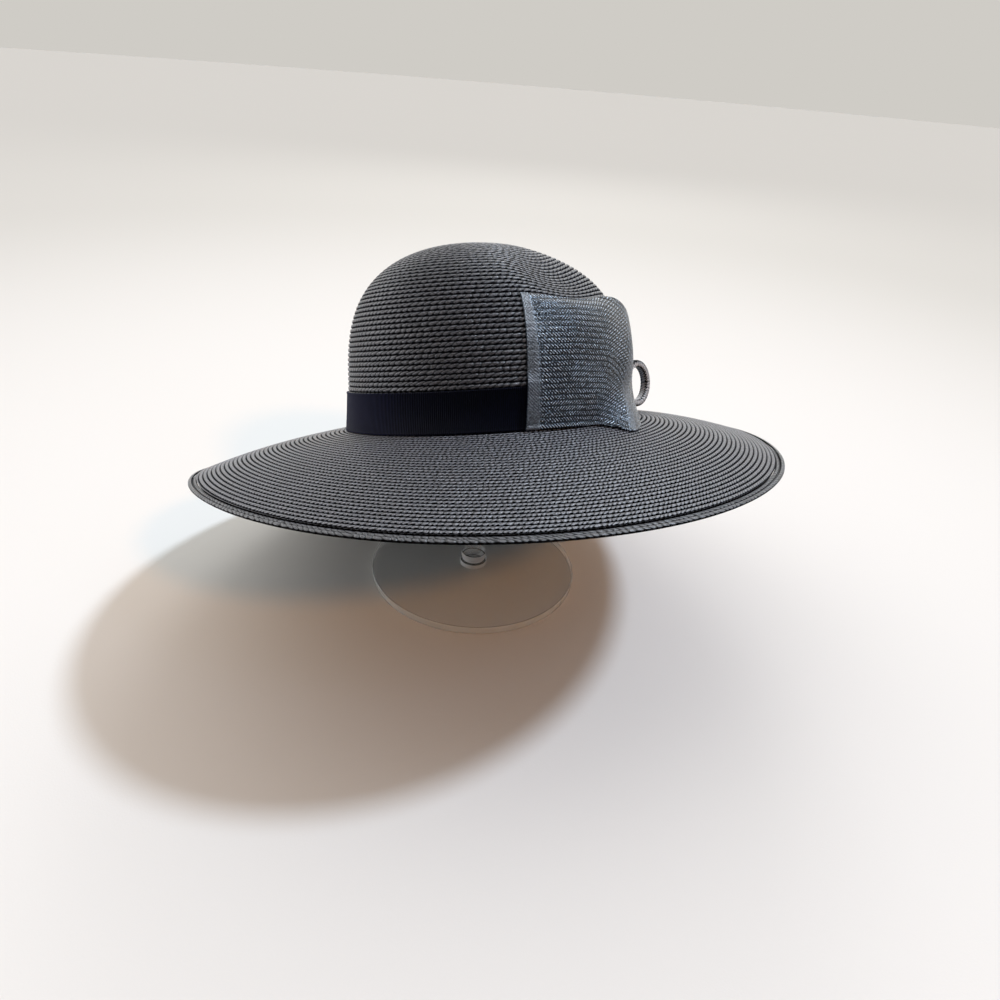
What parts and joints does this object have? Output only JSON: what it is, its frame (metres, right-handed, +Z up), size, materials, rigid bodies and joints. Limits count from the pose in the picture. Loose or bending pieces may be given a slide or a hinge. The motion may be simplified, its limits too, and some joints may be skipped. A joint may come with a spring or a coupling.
{
  "type": "church hat on clear stand",
  "caption": "Wide-brimmed dark straw braid church hat with ribbon band, side panel and ring loop, tilted on a clear disc-base stand.",
  "frame": {"origin": "centre of the stand's underside, on the surface it stands on", "axes": "+X to the right as the picture shows the hat, with the ring loop on the +X side, +Y away from the viewer, +Z up along the stand's stem. The hat leans about 21 degrees from +Z, its far rim lowest."},
  "size_m": [0.3963, 0.3697, 0.2484],
  "materials": {
    "straw_braid": "semi-gloss machine-sewn straw braid",
    "rim_braid": "semi-gloss doubled straw braid",
    "grosgrain_ribbon": "matte ribbed ribbon",
    "panel_braid": "glossy fine diagonal weave braid",
    "ring_braid": "satin rolled braid",
    "clear_acrylic": "polished clear acrylic"
  },
  "bodies": {
    "root": {"crown": "straw_braid", "brim": "straw_braid", "rim_edge": "rim_braid", "ribbon_band": "grosgrain_ribbon", "side_panel": "panel_braid", "ring_loop": "ring_braid", "stand_base": "clear_acrylic", "stand_collar": "clear_acrylic", "stand_stem": "clear_acrylic", "stand_pad": "clear_acrylic"}
  },
  "joints": []
}
